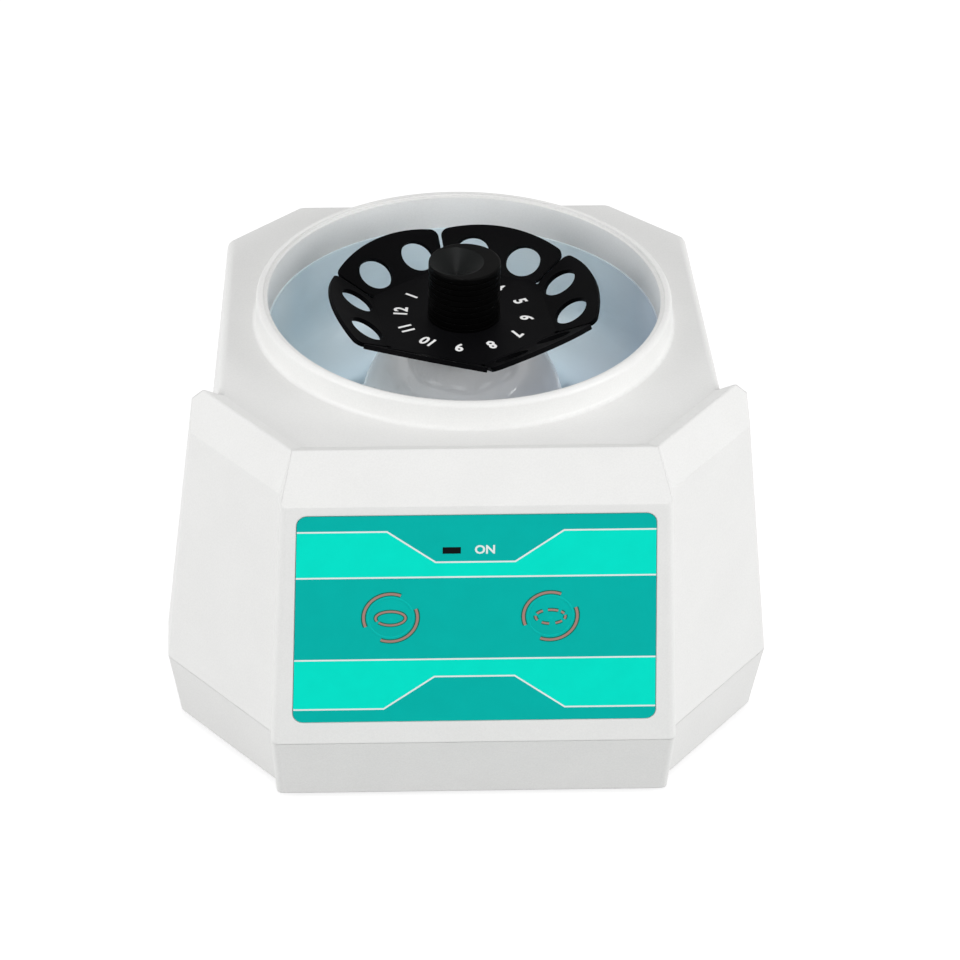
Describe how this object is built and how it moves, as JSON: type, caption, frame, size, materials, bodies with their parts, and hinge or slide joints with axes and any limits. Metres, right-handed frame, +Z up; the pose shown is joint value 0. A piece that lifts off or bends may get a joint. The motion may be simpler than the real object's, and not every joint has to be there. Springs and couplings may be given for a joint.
{
  "type": "centrifuge vortex mixer",
  "caption": "Bench instrument with an angled tube rotor in a round open chamber, a vortex mixing head on the rotor's hub, and keys on the front of a faceted plastic housing.",
  "frame": {"origin": "middle of the footprint, on the bench", "axes": "+X to the right as seen from the front, +Y to the back, +Z up"},
  "size_m": [0.19, 0.186, 0.135],
  "materials": {
    "housing_white": "fine moulded satin",
    "tray_white": "fine moulded satin",
    "foot_rubber": "matt",
    "bowl_metal": "spun and blue-grey lacquered",
    "screw_steel": "zinc plated",
    "dome_plastic": "smooth, slightly milky",
    "seal_rubber": "matt",
    "rotor_black": "fine matt, printed numbers",
    "hub_black": "matt",
    "head_rubber": "matt ribbed",
    "shaft_steel": "ground",
    "stack_steel": "laminated",
    "copper": "turned",
    "can_steel": "zinc plated",
    "cap_black": "matt",
    "magnet_ferrite": "sintered",
    "bush_bronze": "sintered",
    "brush_carbon": "matt",
    "bracket_steel": "zinc plated",
    "panel_teal": "printed polyester film",
    "window_dark": "clear smoked",
    "led_green": "clear",
    "key_teal": "printed film over a rubber key",
    "board_green": "solder masked",
    "switch_black": "matt",
    "rocker_black": "smooth",
    "nut_steel": "nickel plated"
  },
  "bodies": {
    "housing": {"upper_housing": "housing_white", "lower_housing": "tray_white", "rubber_feet": "foot_rubber", "chamber_bowl": "bowl_metal", "bowl_screws": "screw_steel", "hub_dome": "dome_plastic", "shaft_seal": "seal_rubber", "motor_can": "can_steel", "motor_end_cap": "cap_black", "field_magnets": "magnet_ferrite", "upper_bush": "bush_bronze", "lower_bush": "bush_bronze", "brush_holder": "brush_carbon", "motor_bracket": "bracket_steel", "motor_screws": "screw_steel", "isolators": "foot_rubber", "bracket_screws": "screw_steel", "panel_overlay": "panel_teal", "led_window": "window_dark", "power_led": "led_green", "key_board": "board_green", "key_switches": "switch_black", "key_board_screws": "screw_steel", "main_board": "board_green", "board_parts": "switch_black", "main_board_screws": "screw_steel", "housing_screws": "screw_steel", "switch_frame": "switch_black", "dc_inlet": "switch_black", "inlet_nut": "nut_steel"},
    "rotor": {"tube_rotor": "rotor_black", "rotor_hub": "hub_black", "vortex_head": "head_rubber", "motor_shaft": "shaft_steel", "armature": "stack_steel", "commutator": "copper"},
    "start_key": {"start_button": "key_teal"},
    "pulse_key": {"pulse_button": "key_teal"},
    "rocker": {"power_rocker": "rocker_black"}
  },
  "joints": [
    {"name": "rotor_spin", "type": "hinge", "parent": "housing", "child": "rotor", "pos_m": [0, 0.012, 0.1153], "axis": [0, 0, 1], "continuous": true},
    {"name": "start_key_slide", "type": "slide", "parent": "housing", "child": "start_key", "axis": [0, 0.9955, -0.0946], "range_m": [0, 0.0005], "stiffness_N_per_m": 300},
    {"name": "pulse_key_slide", "type": "slide", "parent": "housing", "child": "pulse_key", "axis": [0, 0.9955, -0.0946], "range_m": [0, 0.0005], "stiffness_N_per_m": 300},
    {"name": "rocker_tilt", "type": "hinge", "parent": "housing", "child": "rocker", "pos_m": [-0.022, 0.08896, 0.066], "axis": [-1, 0, 0], "range_deg": [0, 20]}
  ]
}
